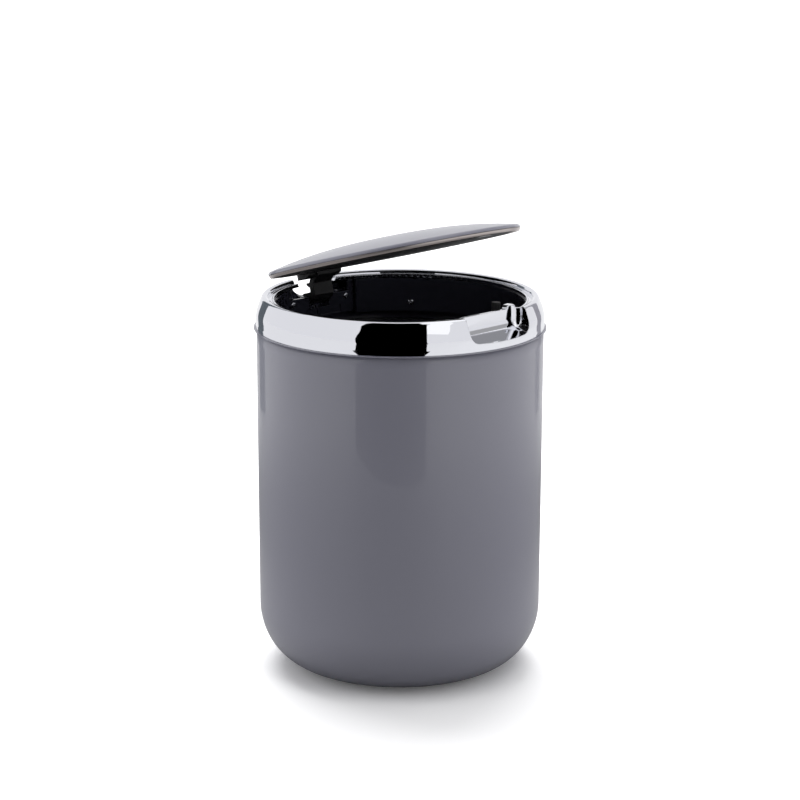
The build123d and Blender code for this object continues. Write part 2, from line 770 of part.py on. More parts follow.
rib_outer = lid_radius - cover_edge - hem_width - clear
rib_inner = rib_outer - plate_rib
with BuildPart() as lid_inner_plate:
    with BuildSketch(lid_section):
        with BuildLine():
            Polyline(
                (0, -plate_depth), (plate_flat_radius, -plate_depth),
                (lid_radius - plate_edge_inset, -plate_lip), (lid_radius - plate_edge_inset, 0),
                (rib_outer, 0), (rib_outer, plate_rib_height),
                (rib_inner, plate_rib_height), (rib_inner, -plate_lip),
                (plate_flat_radius - plate_wall_slope, plate_wall - plate_depth),
                (0, plate_wall - plate_depth), close=True,
            )
        make_face()
    revolve(axis=lid_axis)
    # pocket that takes the bracket's base, with bosses for its screws
    with BuildSketch(lid_frame.offset(plate_bottom)):
        with Locations(base_centre):
            RectangleRounded(
                2 * (bracket_half_width + gap + plate_wall), base_length + 2 * (gap + plate_wall),
                radius=bracket_corner + gap + plate_wall,
            )
    extrude(amount=bracket_thickness + plate_wall)
    with BuildSketch(lid_frame.offset(plate_bottom)):
        with Locations(*bracket_screw_points):
            Circle(plate_boss_radius)
    extrude(amount=bracket_thickness + plate_boss_height)
    with BuildSketch(lid_frame.offset(plate_bottom)):
        with Locations(base_centre):
            RectangleRounded(
                2 * (bracket_half_width + gap), base_length + 2 * gap, radius=bracket_corner + gap,
            )
    extrude(amount=bracket_thickness, mode=Mode.SUBTRACT)
    with BuildSketch(lid_frame.offset(plate_bottom)):
        with Locations(*bracket_screw_points):
            Circle(hole_radius)
    extrude(amount=bracket_thickness + plate_boss_height - plate_boss_cap, mode=Mode.SUBTRACT)
    # seat for the strike plate
    with BuildSketch(lid_frame.offset(plate_bottom)):
        with Locations(strike_point):
            Circle(strike_radius + running_gap)
    extrude(amount=strike_thickness, mode=Mode.SUBTRACT)
finish(lid_inner_plate.part, "lid_inner_plate")

with BuildPart() as strike_plate:
    with BuildSketch(lid_frame.offset(plate_bottom)):
        with Locations(strike_point):
            Circle(strike_radius)
    extrude(amount=strike_thickness)
finish(strike_plate.part, "strike_plate")

with BuildPart() as lid_bracket:
    # gooseneck arm from the pin up to the lid
    with BuildSketch(lid_side) as arm:
        with BuildLine():
            Polyline(
                (0, knuckle_radius), (-hook_under_reach, hook_under_rise),
                (-hook_inner_reach, hook_inner_rise),
                (-hook_tip_reach, hook_tip_rise), (-hook_tip_reach, hook_tip_rise + hook_height),
                (-neck_back_reach, neck_back_rise), (-neck_top_reach, neck_top_rise),
                (-bracket_back, plate_bottom), (-bracket_back, plate_bottom + bracket_thickness),
                (-throat_top_reach, plate_bottom + bracket_thickness),
                (-throat_top_reach, plate_bottom - throat_top_drop), (-throat_high_reach, throat_high_rise),
                (-throat_mid_reach, throat_mid_rise), (-throat_low_reach, throat_low_rise),
                (-throat_foot_reach, -throat_foot_drop), (-knuckle_heel, -knuckle_radius),
                (0, -knuckle_radius), close=True,
            )
        make_face()
        Circle(knuckle_radius)
    extrude(amount=arm_half_width, both=True)
    # heel that fills the rim's notch, its top just under the plate's sloping edge
    with BuildSketch(lid_side):
        with BuildLine():
            Polyline(
                (-bracket_back - bracket_corner, plate_bottom), (-pocket_reach, plate_bottom),
                (-heel_reach, plate_bottom + plate_slope * (slope_reach - heel_reach) - running_gap),
                (-heel_reach, plate_bottom - heel_drop), (-bracket_back, plate_bottom - heel_drop),
                (-bracket_back - bracket_corner, plate_bottom - heel_drop / 2), close=True,
            )
        make_face()
    extrude(amount=heel_half_width, both=True)
    # base let into the lid's inner plate
    with BuildSketch(lid_frame.offset(plate_bottom)):
        with Locations(base_centre):
            RectangleRounded(2 * bracket_half_width, base_length, radius=bracket_corner)
    extrude(amount=bracket_thickness)
    # pocket for the spring round the pin
    with Locations(hinge_axis_plane):
        Cylinder(spring_pocket_radius, 2 * spring_pocket_half_width, mode=Mode.SUBTRACT)
        Cylinder(pin_radius + running_gap, 4 * lug_outer, mode=Mode.SUBTRACT)
    with BuildSketch(lid_frame.offset(plate_bottom)):
        with Locations(*bracket_screw_points):
            Circle(screw_head_radius + clear / 2)
    extrude(amount=bracket_bore_depth, mode=Mode.SUBTRACT)
    with BuildSketch(lid_frame.offset(plate_bottom)):
        with Locations(*bracket_screw_points):
            Circle(hole_radius)
    extrude(amount=bracket_thickness, mode=Mode.SUBTRACT)
finish(lid_bracket.part, "lid_bracket")

bracket_screw_places = [
    Plane(
        origin=lid_frame.from_local_coords((x, y, plate_bottom + bracket_bore_depth)),
        x_dir=(1, 0, 0), z_dir=lid_normal,
    )
    for x, y in bracket_screw_points
]
finish(pan_screws(bracket_screw_places, bracket_screw_length), "bracket_screws")

# ---------------------------------------------------------------- bucket
ear_inner = flange_radius - ear_inset - ear_thickness
ear_root = bucket_height - flange_thickness
with BuildPart() as inner_bucket:
    revolve(
        cup_section(
            bucket_radius, bucket_radius - bucket_taper, shell_floor, bucket_height,
            bucket_corner_width, bucket_corner_height, bucket_wall,
        ),
        axis=Axis.Z,
    )
    revolve(
        ring(
            (bucket_radius - bucket_wall / 2, bucket_height), (flange_radius, bucket_height),
            (flange_radius, bucket_height - flange_skirt),
            (flange_radius - flange_thickness, bucket_height - flange_skirt),
            (flange_radius - flange_thickness, bucket_height - flange_thickness),
            (bucket_radius - bucket_wall / 2, bucket_height - flange_thickness),
        ),
        axis=Axis.Z,
    )
    # ears that carry the bail
    for side in (-1, 1):
        with BuildSketch(Plane.YZ.offset(side * (ear_inner + ear_thickness / 2))):
            with BuildLine():
                Polyline(
                    (-ear_width / 2, ear_root), (ear_width / 2, ear_root),
                    (ear_width / 4, bucket_height + ear_height), (-ear_width / 4, bucket_height + ear_height),
                    close=True,
                )
            make_face()
        extrude(amount=ear_thickness / 2, both=True)
    with Locations(Plane(origin=(0, 0, bail_height), x_dir=(0, 1, 0), z_dir=(1, 0, 0))):
        Cylinder(bail_wire + bail_running_gap, 3 * flange_radius, mode=Mode.SUBTRACT)
finish(inner_bucket.part, "inner_bucket")

with BuildPart() as bucket_bail:
    with BuildLine(Plane.XY.offset(bail_height)) as bail_half:
        front = (0, -bail_bend - bail_loop_radius)
        quarter = JernArc(front, (1, 0), bail_loop_radius, 90)
        bend = TangentArc(quarter @ 1, (bail_loop_radius + bail_bend, 0), tangent=(0, 1))
        Line(bend @ 1, (flange_radius, 0))
    with BuildSketch(Plane(origin=bail_half.line @ 0, z_dir=bail_half.line % 0)):
        Circle(bail_wire)
    sweep()
    mirror(about=Plane.YZ)
finish(bucket_bail.part, "bucket_bail")
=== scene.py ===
# %% [markdown]
# # Dressing a push-top countertop bin
#
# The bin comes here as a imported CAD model: a deep-drawn steel body with stoved grey lacquer, a chrome-plated
# rim with a finger scoop and a touch latch, a sprung domed lid, black moulded fittings and a lift-out
# bucket. The model already has the right sizes and joints. This lesson gives it finishes, makes the pressed
# and turned pieces again where a smooth surface matters, sets a camera and lights a small product studio.
# All lengths are in metres, and every piece stays where the CAD model has it.

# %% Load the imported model
import json
import math

import bmesh
import bpy
from mathutils import Matrix, Vector


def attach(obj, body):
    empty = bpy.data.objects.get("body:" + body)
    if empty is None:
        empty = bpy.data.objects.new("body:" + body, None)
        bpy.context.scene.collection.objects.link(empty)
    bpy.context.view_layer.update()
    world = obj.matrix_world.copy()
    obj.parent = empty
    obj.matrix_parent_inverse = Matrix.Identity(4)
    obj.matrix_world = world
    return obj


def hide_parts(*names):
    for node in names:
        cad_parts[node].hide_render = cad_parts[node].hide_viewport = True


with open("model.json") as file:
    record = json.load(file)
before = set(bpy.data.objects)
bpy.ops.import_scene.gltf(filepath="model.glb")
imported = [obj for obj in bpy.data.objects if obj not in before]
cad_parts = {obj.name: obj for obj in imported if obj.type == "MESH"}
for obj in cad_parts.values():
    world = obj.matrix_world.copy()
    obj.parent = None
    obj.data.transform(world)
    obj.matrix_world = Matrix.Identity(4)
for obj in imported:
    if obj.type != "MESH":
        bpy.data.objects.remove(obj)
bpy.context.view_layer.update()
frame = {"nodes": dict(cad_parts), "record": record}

# %% [markdown]
# ## Helpers for colours and nodes
#
# Paint charts give colours as sRGB hex codes, and shaders work in linear light, so one function turns the
# first into the second. Shader trees and Geometry Nodes trees are both lists of nodes with settings and
# links, so one function adds a node to either of them. An input is a plain value or the output to link,
# and the same rule feeds the shader that a new material already has.


# %% Helpers for colours and nodes
def linear(code):
    """sRGB hex code to linear RGBA."""
    parts = [int(code[i:i + 2], 16) / 255 for i in (1, 3, 5)]
    return tuple(p / 12.92 if p <= 0.04045 else ((p + 0.055) / 1.055) ** 2.4 for p in parts) + (1.0,)


def feed(node, inputs):
    """Set each input of a node to its value, or link it to the output that is given."""
    for key, value in dict(inputs).items():
        if isinstance(value, bpy.types.NodeSocket):
            node.id_data.links.new(value, node.inputs[key])
        else:
            node.inputs[key].default_value = value


def add(tree, kind, inputs=(), **settings):
    """Add a node with its settings, and feed its inputs."""
    node = tree.nodes.new(kind)
    for name, value in settings.items():
        setattr(node, name, value)
    feed(node, inputs)
    return node


print("mid grey in linear light:", linear("#808080")[0])

# %% [markdown]
# ## Starting a material
#
# Every finish here is a Principled shader whose normal comes from up to two steps. A Bevel node rounds the
# look of sharp edges by the radius that a mould or a press leaves on them. A Bump node then adds the relief
# of the surface. Relief is read in object coordinates, and each pattern's scale is one over its real size.

# %% Starting a material
MM = 0.001
EDGE_SAMPLES = 6


def start_material(name, base, roughness, metallic=0.0):
    """A material whose Principled shader has its colour, its roughness and its metallic value."""
    material = bpy.data.materials.new(name)
    material.use_nodes = True
    shader = material.node_tree.nodes["Principled BSDF"]
    feed(shader, {"Base Color": linear(base), "Roughness": roughness, "Metallic": metallic})
    return material, material.node_tree, shader


print("a millimetre in scene units:", MM)

# %% [markdown]
# ## Stoved gloss lacquer on pressed steel
#
# The body and the lid's cover are mild steel, sprayed with a grey polyester lacquer and stoved. The grey is
# slightly blue. The lacquer levels into a hard clear gloss, so the eye sees a soft grey under sharp, weak
# reflections. A coat layer over a satin base gives both. Sprayed lacquer keeps a trace of orange peel, waves
# about 3 mm long and a few thousandths of a millimetre high, which makes reflected edges waver very slightly.
# Under it the base coat dries a little uneven over some centimetres, a faint cloud in the satin.

# %% Stoved gloss lacquer
lacquer, tree, shader = start_material("stoved_gloss_lacquer", "#8F8F9C", 0.38)
place = add(tree, "ShaderNodeTexCoord").outputs["Object"]
peel = add(tree, "ShaderNodeTexNoise", {"Vector": place, "Scale": 1 / (3.2 * MM), "Detail": 1.0})
waver = add(tree, "ShaderNodeBump", {"Height": peel.outputs["Fac"], "Distance": 0.003 * MM})
cloud = add(tree, "ShaderNodeTexNoise", {"Vector": place, "Scale": 1 / (45 * MM), "Detail": 2.0})
satin = add(tree, "ShaderNodeMapRange", {"Value": cloud.outputs["Fac"], "To Min": 0.34, "To Max": 0.42})
feed(shader, {"Roughness": satin.outputs["Result"], "IOR": 1.5, "Coat Weight": 0.5, "Coat Roughness": 0.015,
              "Coat IOR": 1.52, "Coat Normal": waver.outputs["Normal"]})
print("lacquer:", lacquer.name)

# %% [markdown]
# ## Bright chrome plated on moulded ABS
#
# The rim is one ABS moulding, plated with copper, nickel and a film of chromium. Chromium is a metal, so
# the colour is in its reflection: nearly neutral, with a trace of blue. Plating follows the moulding, so the
# wide faces keep the moulding's slow waves, some 14 mm long, and every edge is rounded by the plate.

# %% Chrome on ABS
chrome, tree, shader = start_material("bright_chrome_on_abs", "#DBDCE1", 0.025, 1.0)
place = add(tree, "ShaderNodeTexCoord").outputs["Object"]
edges = add(tree, "ShaderNodeBevel", {"Radius": 0.7 * MM}, samples=EDGE_SAMPLES)
wave = add(tree, "ShaderNodeTexNoise", {"Vector": place, "Scale": 1 / (14 * MM), "Detail": 1.5})
relief = add(tree, "ShaderNodeBump", {"Height": wave.outputs["Fac"], "Distance": 0.005 * MM,
                                      "Normal": edges.outputs["Normal"]})
feed(shader, {"Normal": relief.outputs["Normal"]})
print("chrome:", chrome.name)

# %% [markdown]
# ## Gloss black ABS
#
# The liner, the carrier ring and the hinge are black ABS from a polished mould. The polish is high but not
# optical: fine flow lines, a few millimetres long and far shallower than a hair, soften the reflections. The
# melt runs up the walls, so the lines are four times as long upwards.

# %% Gloss black ABS
black_abs, tree, shader = start_material("gloss_black_abs", "#383843", 0.1)
place = add(tree, "ShaderNodeTexCoord").outputs["Object"]
edges = add(tree, "ShaderNodeBevel", {"Radius": 0.3 * MM}, samples=EDGE_SAMPLES)
stretch = add(tree, "ShaderNodeMapping", {"Vector": place, "Scale": (1.0, 1.0, 0.25)})
flow = add(tree, "ShaderNodeTexNoise",
           {"Vector": stretch.outputs["Vector"], "Scale": 1 / (4 * MM), "Detail": 2.0})
relief = add(tree, "ShaderNodeBump", {"Height": flow.outputs["Fac"], "Distance": 0.006 * MM,
                                      "Normal": edges.outputs["Normal"]})
rub = add(tree, "ShaderNodeMapRange", {"Value": flow.outputs["Fac"], "To Min": 0.07, "To Max": 0.15})
feed(shader, {"Roughness": rub.outputs["Result"], "IOR": 1.54, "Normal": relief.outputs["Normal"]})
print("black ABS:", black_abs.name)

# %% [markdown]
# ## Spark-eroded black ABS under the lid
#
# The lid's inner plate comes from the same plastic, but its mould was spark-eroded, which leaves a matt
# leather of small pits. The real pits are about 0.1 mm wide. They are drawn at 0.5 mm, as coarse as they
# need to be to show, and they keep the plate dark even where the eye meets it at a low angle.

# %% Spark-eroded black ABS
eroded, tree, shader = start_material("spark_eroded_black_abs", "#101013", 0.58)
place = add(tree, "ShaderNodeTexCoord").outputs["Object"]
edges = add(tree, "ShaderNodeBevel", {"Radius": 0.4 * MM}, samples=EDGE_SAMPLES)
pits = add(tree, "ShaderNodeTexNoise", {"Vector": place, "Scale": 1 / (0.5 * MM), "Detail": 2.0})
relief = add(tree, "ShaderNodeBump", {"Height": pits.outputs["Fac"], "Distance": 0.12 * MM,
                                      "Normal": edges.outputs["Normal"]})
feed(shader, {"IOR": 1.5, "Normal": relief.outputs["Normal"]})
print("eroded ABS:", eroded.name)

# %% [markdown]
# ## Satin polypropylene
#
# The bucket is polypropylene, which never takes a full gloss. Its mould is finely blasted, so it has a soft
# sheen broken by a grain of about 0.4 mm, drawn at 0.8 mm so that it shows.

# %% Satin polypropylene
bucket_pp, tree, shader = start_material("satin_polypropylene", "#3A3A40", 0.36)
place = add(tree, "ShaderNodeTexCoord").outputs["Object"]
edges = add(tree, "ShaderNodeBevel", {"Radius": 0.4 * MM}, samples=EDGE_SAMPLES)
grain = add(tree, "ShaderNodeTexVoronoi", {"Vector": place, "Scale": 1 / (0.8 * MM)}, feature="SMOOTH_F1")
relief = add(tree, "ShaderNodeBump", {"Height": grain.outputs["Distance"], "Distance": 0.03 * MM,
                                      "Normal": edges.outputs["Normal"]})
feed(shader, {"IOR": 1.49, "Normal": relief.outputs["Normal"]})
print("polypropylene:", bucket_pp.name)

# %% [markdown]
# ## Moulded rubber foot
#
# The foot is a ring of black EPDM rubber, pressed in a plain mould. Rubber is matt and slightly dusty, so
# its roughness is high and its black a little lifted in patches a few millimetres wide.

# %% Moulded rubber
rubber, tree, shader = start_material("moulded_epdm_rubber", "#161616", 0.8)
place = add(tree, "ShaderNodeTexCoord").outputs["Object"]
edges = add(tree, "ShaderNodeBevel", {"Radius": 0.3 * MM}, samples=EDGE_SAMPLES)
dust = add(tree, "ShaderNodeTexNoise", {"Vector": place, "Scale": 1 / (5 * MM), "Detail": 3.0})
shade = add(tree, "ShaderNodeValToRGB", {"Fac": dust.outputs["Fac"]})
shade.color_ramp.elements[0].color = linear("#111111")
shade.color_ramp.elements[1].color = linear("#252524")
relief = add(tree, "ShaderNodeBump", {"Height": dust.outputs["Fac"], "Distance": 0.05 * MM,
                                      "Normal": edges.outputs["Normal"]})
feed(shader, {"Base Color": shade.outputs["Color"], "Normal": relief.outputs["Normal"]})
print("rubber:", rubber.name)

# %% [markdown]
# ## Zinc-plated steel
#
# The screws, the hinge pin, the strike plate and the bail are steel with bright zinc plating. The zinc is
# passivated in a bath, which leaves patches of slightly different gloss, some 2.5 mm wide.

# %% Zinc-plated steel
zinc, tree, shader = start_material("bright_zinc_plated_steel", "#C3C5CB", 0.24, 1.0)
place = add(tree, "ShaderNodeTexCoord").outputs["Object"]
edges = add(tree, "ShaderNodeBevel", {"Radius": 0.15 * MM}, samples=EDGE_SAMPLES)
bath = add(tree, "ShaderNodeTexNoise", {"Vector": place, "Scale": 1 / (2.5 * MM), "Detail": 3.0})
patches = add(tree, "ShaderNodeMapRange", {"Value": bath.outputs["Fac"], "To Min": 0.14, "To Max": 0.36})
relief = add(tree, "ShaderNodeBump", {"Height": bath.outputs["Fac"], "Distance": 0.01 * MM,
                                      "Normal": edges.outputs["Normal"]})
feed(shader, {"Roughness": patches.outputs["Result"], "Normal": relief.outputs["Normal"]})
print("zinc plate:", zinc.name)

# %% [markdown]
# ## Drawn spring steel
#
# The springs are wire, pulled through a die. It is darker than plated steel and a little rougher, with draw
# marks only a fraction of a millimetre wide.

# %% Spring steel
wire, tree, shader = start_material("drawn_spring_steel", "#8F9096", 0.3, 1.0)
place = add(tree, "ShaderNodeTexCoord").outputs["Object"]
drawn = add(tree, "ShaderNodeTexNoise", {"Vector": place, "Scale": 1 / (0.4 * MM), "Detail": 2.0})
marks = add(tree, "ShaderNodeMapRange", {"Value": drawn.outputs["Fac"], "To Min": 0.22, "To Max": 0.42})
relief = add(tree, "ShaderNodeBump", {"Height": drawn.outputs["Fac"], "Distance": 0.01 * MM})
feed(shader, {"Roughness": marks.outputs["Result"], "Normal": relief.outputs["Normal"]})
print("spring wire:", wire.name)

# %% [markdown]
# ## Bare satin steel
#
# One thin band under the lid's edge is bare steel, rubbed to a satin and slightly warm beside the zinc. The
# rubbing leaves a fine tooth, about 0.6 mm as drawn, which spreads the reflections a little.

# %% Bare satin steel
trim_steel, tree, shader = start_material("bare_satin_steel", "#B3ABA8", 0.28, 1.0)
place = add(tree, "ShaderNodeTexCoord").outputs["Object"]
edges = add(tree, "ShaderNodeBevel", {"Radius": 0.2 * MM}, samples=EDGE_SAMPLES)
tooth = add(tree, "ShaderNodeTexNoise", {"Vector": place, "Scale": 1 / (0.6 * MM), "Detail": 2.0})
relief = add(tree, "ShaderNodeBump", {"Height": tooth.outputs["Fac"], "Distance": 0.01 * MM,
                                      "Normal": edges.outputs["Normal"]})
feed(shader, {"Normal": relief.outputs["Normal"]})
print("satin steel:", trim_steel.name)

# %% [markdown]
# ## Giving the CAD pieces their finishes
#
# The record names a material slot for each CAD node. The node keeps its shape, and takes the finish of its
# slot. Four nodes are matt although their slot is glossy: the lid's inner plate, its bracket and the latch's
# plunger come from spark-eroded moulds, and the magnet has a coat of black epoxy that is as dull as they are.

# %% Finishes by slot
finish_of_slot = {
    "grey_lacquer": lacquer,
    "chrome": chrome,
    "black_gloss_abs": black_abs,
    "bucket_plastic": bucket_pp,
    "foot_rubber": rubber,
    "bright_steel": zinc,
    "spring_steel": wire,
}
matt_nodes = ("lid_inner_plate", "lid_bracket", "latch_plunger", "latch_magnet")
slot_of_node = {part["node"]: part["material_slot"] for part in frame["record"]["subparts"]}
for name, node in frame["nodes"].items():
    node.data.materials.clear()
    node.data.materials.append(eroded if name in matt_nodes else finish_of_slot[slot_of_node[name]])
print("finished", len(slot_of_node), "nodes from", len(finish_of_slot), "slots")

# %% [markdown]
# ## From modifiers to a plain piece
#
# Geometry Nodes, Screw, Solidify and Boolean all work as modifiers. Here they sit on a throwaway object,
# whose evaluated result is copied to a plain mesh. The mesh then gets outward faces and smooth shading that
# stays crisp at real edges, and becomes a piece that rides on one body. A tree's inputs are set by the
# identifier of their sockets, because two sockets may share a name.


# %% From modifiers to a plain mesh
def in_scene(name, mesh):
    """An object with this mesh, linked to the scene."""
    obj = bpy.data.objects.new(name, mesh)
    bpy.context.scene.collection.objects.link(obj)
    return obj


def plain_mesh(obj, *helpers):
    """The evaluated mesh of a throwaway object, which goes with its helpers."""
    view = bpy.context.evaluated_depsgraph_get()
    mesh = bpy.data.meshes.new_from_object(obj.evaluated_get(view), depsgraph=view)
    for used in (obj, *helpers):
        bpy.data.objects.remove(used)
    return mesh


def grow(name, tree, sizes, points=None):
    """The mesh that a Geometry Nodes tree makes from named sizes and, where it needs them, points."""
    seed = in_scene(name + "_seed", points or bpy.data.meshes.new(name + "_seed"))
    modifier = seed.modifiers.new("tree", "NODES")
    modifier.node_group = tree
    sockets = {item.name: item.identifier for item in tree.interface.items_tree if item.in_out == "INPUT"}
    for size, value in sizes.items():
        modifier[sockets[size]] = value
    return plain_mesh(seed)


# %% From a plain mesh to a piece
SAME_POINT = 1e-6
SHARP_EDGE = 30.0


def settle(mesh, sharp=SHARP_EDGE):
    """Merge doubles, turn the faces outwards, and shade smooth up to an angle in degrees."""
    work = bmesh.new()
    work.from_mesh(mesh)
    bmesh.ops.remove_doubles(work, verts=work.verts, dist=SAME_POINT)
    bmesh.ops.recalc_face_normals(work, faces=work.faces)
    work.to_mesh(mesh)
    work.free()
    mesh.shade_smooth()
    mesh.set_sharp_from_angle(angle=math.radians(sharp))


def piece(name, mesh, material, body, slot, *nodes):
    """A finished mesh as a piece that rides on a body and stands for the CAD nodes that are named, if any."""
    mesh.name = name
    mesh.materials.clear()
    mesh.materials.append(material)
    obj = in_scene(name, mesh)
    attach(obj, body)
    if nodes:
        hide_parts(*nodes)
    print(name, "faces:", len(mesh.polygons), "rides on", body)


print("edges sharper than", SHARP_EDGE, "degrees stay crisp")

# %% [markdown]
# ## Turning a section round the axis
#
# A pressed or turned piece is a flat section carried round an axis. In Geometry Nodes, Curve to Mesh does
# this when the path is a circle. The section can't cross the path, so the circle is given a radius of its
# own, the pivot, and the section is drawn that much nearer the middle. Its points that meet on the axis are
# merged afterwards. The section's second axis points down the turning axis, so it is tipped over first.


# %% Nodes that turn a section
def turned(tree, parts, steps, pivot):
    """Join the parts of a section, drawn as (radius - pivot, height), and carry it round the axis."""
    joined = add(tree, "GeometryNodeJoinGeometry")
    for part in reversed(parts):
        feed(joined, {"Geometry": part})
    wires = add(tree, "GeometryNodeCurveToMesh", {"Curve": joined.outputs["Geometry"]})
    whole = add(tree, "GeometryNodeMergeByDistance",
                {"Geometry": wires.outputs["Mesh"], "Distance": SAME_POINT})
    section = add(tree, "GeometryNodeMeshToCurve", {"Mesh": whole.outputs["Geometry"]})
    tipped = add(tree, "GeometryNodeTransform",
                 {"Geometry": section.outputs["Curve"], "Rotation": (math.pi, 0.0, 0.0)})
    path = add(tree, "GeometryNodeCurvePrimitiveCircle", {"Resolution": steps, "Radius": pivot})
    skin = add(tree, "GeometryNodeCurveToMesh",
               {"Curve": path.outputs["Curve"], "Profile Curve": tipped.outputs["Geometry"]})
    return add(tree, "GeometryNodeMergeByDistance",
               {"Geometry": skin.outputs["Mesh"], "Distance": SAME_POINT})


def close_tree(tree, geometry, finish):
    """End a tree as the export needs it: real geometry, with its material set."""
    real = add(tree, "GeometryNodeRealizeInstances", {"Geometry": geometry})
    dressed = add(tree, "GeometryNodeSetMaterial", {"Geometry": real.outputs["Geometry"], "Material": finish})
    add(tree, "NodeGroupOutput", {"Geometry": dressed.outputs["Geometry"]})


print("points nearer than", SAME_POINT, "m are one point")

# %% [markdown]
# ## The pressed body
#
# The body is deep-drawn: a disc of steel pulled down into a cup, with a flat floor, a corner that is slightly
# taller than it is wide, and a wall that opens a little towards the top. It is the largest surface of the bin
# and it is glossy, so a long smooth corner matters more here than anywhere else. The shape follows a rule,
# so a Geometry Nodes tree draws it from its named sizes: a floor line, an elliptical quarter and a wall line.
# Short runs up the wall keep its long faces from bending the reflections.


# %% Tree of the pressed cup
def pressed_cup():
    tree = bpy.data.node_groups.new("pressed cup", "GeometryNodeTree")
    for name in ("Top Radius", "Foot Radius", "Bottom", "Top", "Corner Width", "Corner Height"):
        tree.interface.new_socket(name, in_out="INPUT", socket_type="NodeSocketFloat")
    tree.interface.new_socket("Steps", in_out="INPUT", socket_type="NodeSocketInt")
    tree.interface.new_socket("Finish", in_out="INPUT", socket_type="NodeSocketMaterial")
    tree.interface.new_socket("Geometry", in_out="OUTPUT", socket_type="NodeSocketGeometry")
    given = add(tree, "NodeGroupInput").outputs
    pivot = 0.05
    # a section's x counts from the pivot and its y from the ground
    foot_x, top_x = (add(tree, "ShaderNodeMath", {0: given[name], 1: pivot},
                         operation="SUBTRACT").outputs["Value"] for name in ("Foot Radius", "Top Radius"))
    corner_x = add(tree, "ShaderNodeMath", {0: foot_x, 1: given["Corner Width"]},
                   operation="SUBTRACT").outputs["Value"]
    corner_y = add(tree, "ShaderNodeMath", {0: given["Bottom"], 1: given["Corner Height"]},
                   operation="ADD").outputs["Value"]
    axis, floor_end, middle, wall_foot, wall_top, half_axes = (
        add(tree, "ShaderNodeCombineXYZ", {"X": x, "Y": y, "Z": z}).outputs["Vector"]
        for x, y, z in ((-pivot, given["Bottom"], 0.0), (corner_x, given["Bottom"], 0.0),
                        (corner_x, corner_y, 0.0), (foot_x, corner_y, 0.0), (top_x, given["Top"], 0.0),
                        (given["Corner Width"], given["Corner Height"], 1.0)))
    floor_line = add(tree, "GeometryNodeCurvePrimitiveLine", {"Start": axis, "End": floor_end})
    wall = add(tree, "GeometryNodeCurvePrimitiveLine", {"Start": wall_foot, "End": wall_top})
    runs = add(tree, "GeometryNodeResampleCurve", {"Curve": wall.outputs["Curve"], "Count": 24})
    quarter = add(tree, "GeometryNodeCurveArc",
                  {"Resolution": 49, "Radius": 1.0, "Start Angle": -math.pi / 2, "Sweep Angle": math.pi / 2})
    corner = add(tree, "GeometryNodeTransform",
                 {"Geometry": quarter.outputs["Curve"], "Translation": middle, "Scale": half_axes})
    parts = (floor_line.outputs["Curve"], corner.outputs["Geometry"], runs.outputs["Curve"])
    skin = turned(tree, parts, given["Steps"], pivot)
    close_tree(tree, skin.outputs["Geometry"], given["Finish"])
    return tree


cup = pressed_cup()
print("pressed cup:", len(cup.nodes), "nodes")

# %% [markdown]
# The tree draws the skin only. Solidify then gives the sheet its thickness, inwards, as the die fixes the
# outside of a drawn cup.

# %% The pressed body
body_radius = 0.100
body_taper = 0.0004
body_bottom = 0.0016
body_top = 0.2423
body_sheet = 0.0008

body_skin = grow("steel_body", cup, {
    "Top Radius": body_radius, "Foot Radius": body_radius - body_taper, "Bottom": body_bottom,
    "Top": body_top, "Corner Width": 0.035, "Corner Height": 0.042, "Steps": 256, "Finish": lacquer})
settle(body_skin)
body = in_scene("wall_seed", body_skin)
solidify = body.modifiers.new("wall", "SOLIDIFY")
solidify.thickness = body_sheet
solidify.offset = -1.0
solidify.use_even_offset = True
piece("steel_body", plain_mesh(body), lacquer, "base", "grey_lacquer", "outer_shell")

# %% [markdown]
# ## The domed lid cover
#
# The cover is spun from the same steel: a shallow dome that is flatter in the middle than a ball, with a
# rounded edge and a hem turned under it. Its section is a short list of points worked out from the dome's
# rule. The Screw modifier carries it round, as a spinner turns sheet over a former, and the mesh is then set
# on the lid's own tilted place.


# %% Turning a list of points
def lathe(name, points, closed=False, steps=192, sharp=40.0):
    """Carry a section of (radius, height) points round the z axis with the Screw modifier."""
    line = bpy.data.meshes.new(name)
    edges = [(i, i + 1) for i in range(len(points) - 1)] + ([(len(points) - 1, 0)] if closed else [])
    line.from_pydata([(radius, 0.0, height) for radius, height in points], edges, [])
    seed = in_scene(name + "_seed", line)
    screw = seed.modifiers.new("turn", "SCREW")
    screw.steps = screw.render_steps = steps
    screw.use_merge_vertices = True
    screw.merge_threshold = SAME_POINT
    mesh = plain_mesh(seed)
    settle(mesh, sharp)
    return mesh


# %% The lid's place
rim_height = 0.2653
hinge_y = 0.088
hinge_z = rim_height - 0.0158
lid_tilt = math.radians(16.0)
lid_forward = 0.0032
lid_rise = 0.0202
lid_place = Matrix.Translation((0, hinge_y, hinge_z)) @ Matrix.Rotation(-lid_tilt, 4, "X")
lid_middle = lid_place @ Matrix.Translation((0, -(hinge_y + lid_forward), lid_rise))
print("the lid's middle:", tuple(round(v, 4) for v in lid_middle.translation))

# %% Section of the cover
lid_radius = 0.0889
lid_edge = 0.0020
dome_height = 0.0092
dome_power = 2.5
cover_sheet = 0.0009
hem_turn = 0.0002
hem_width = 0.0014
dome_steps = 40
edge_steps = 10

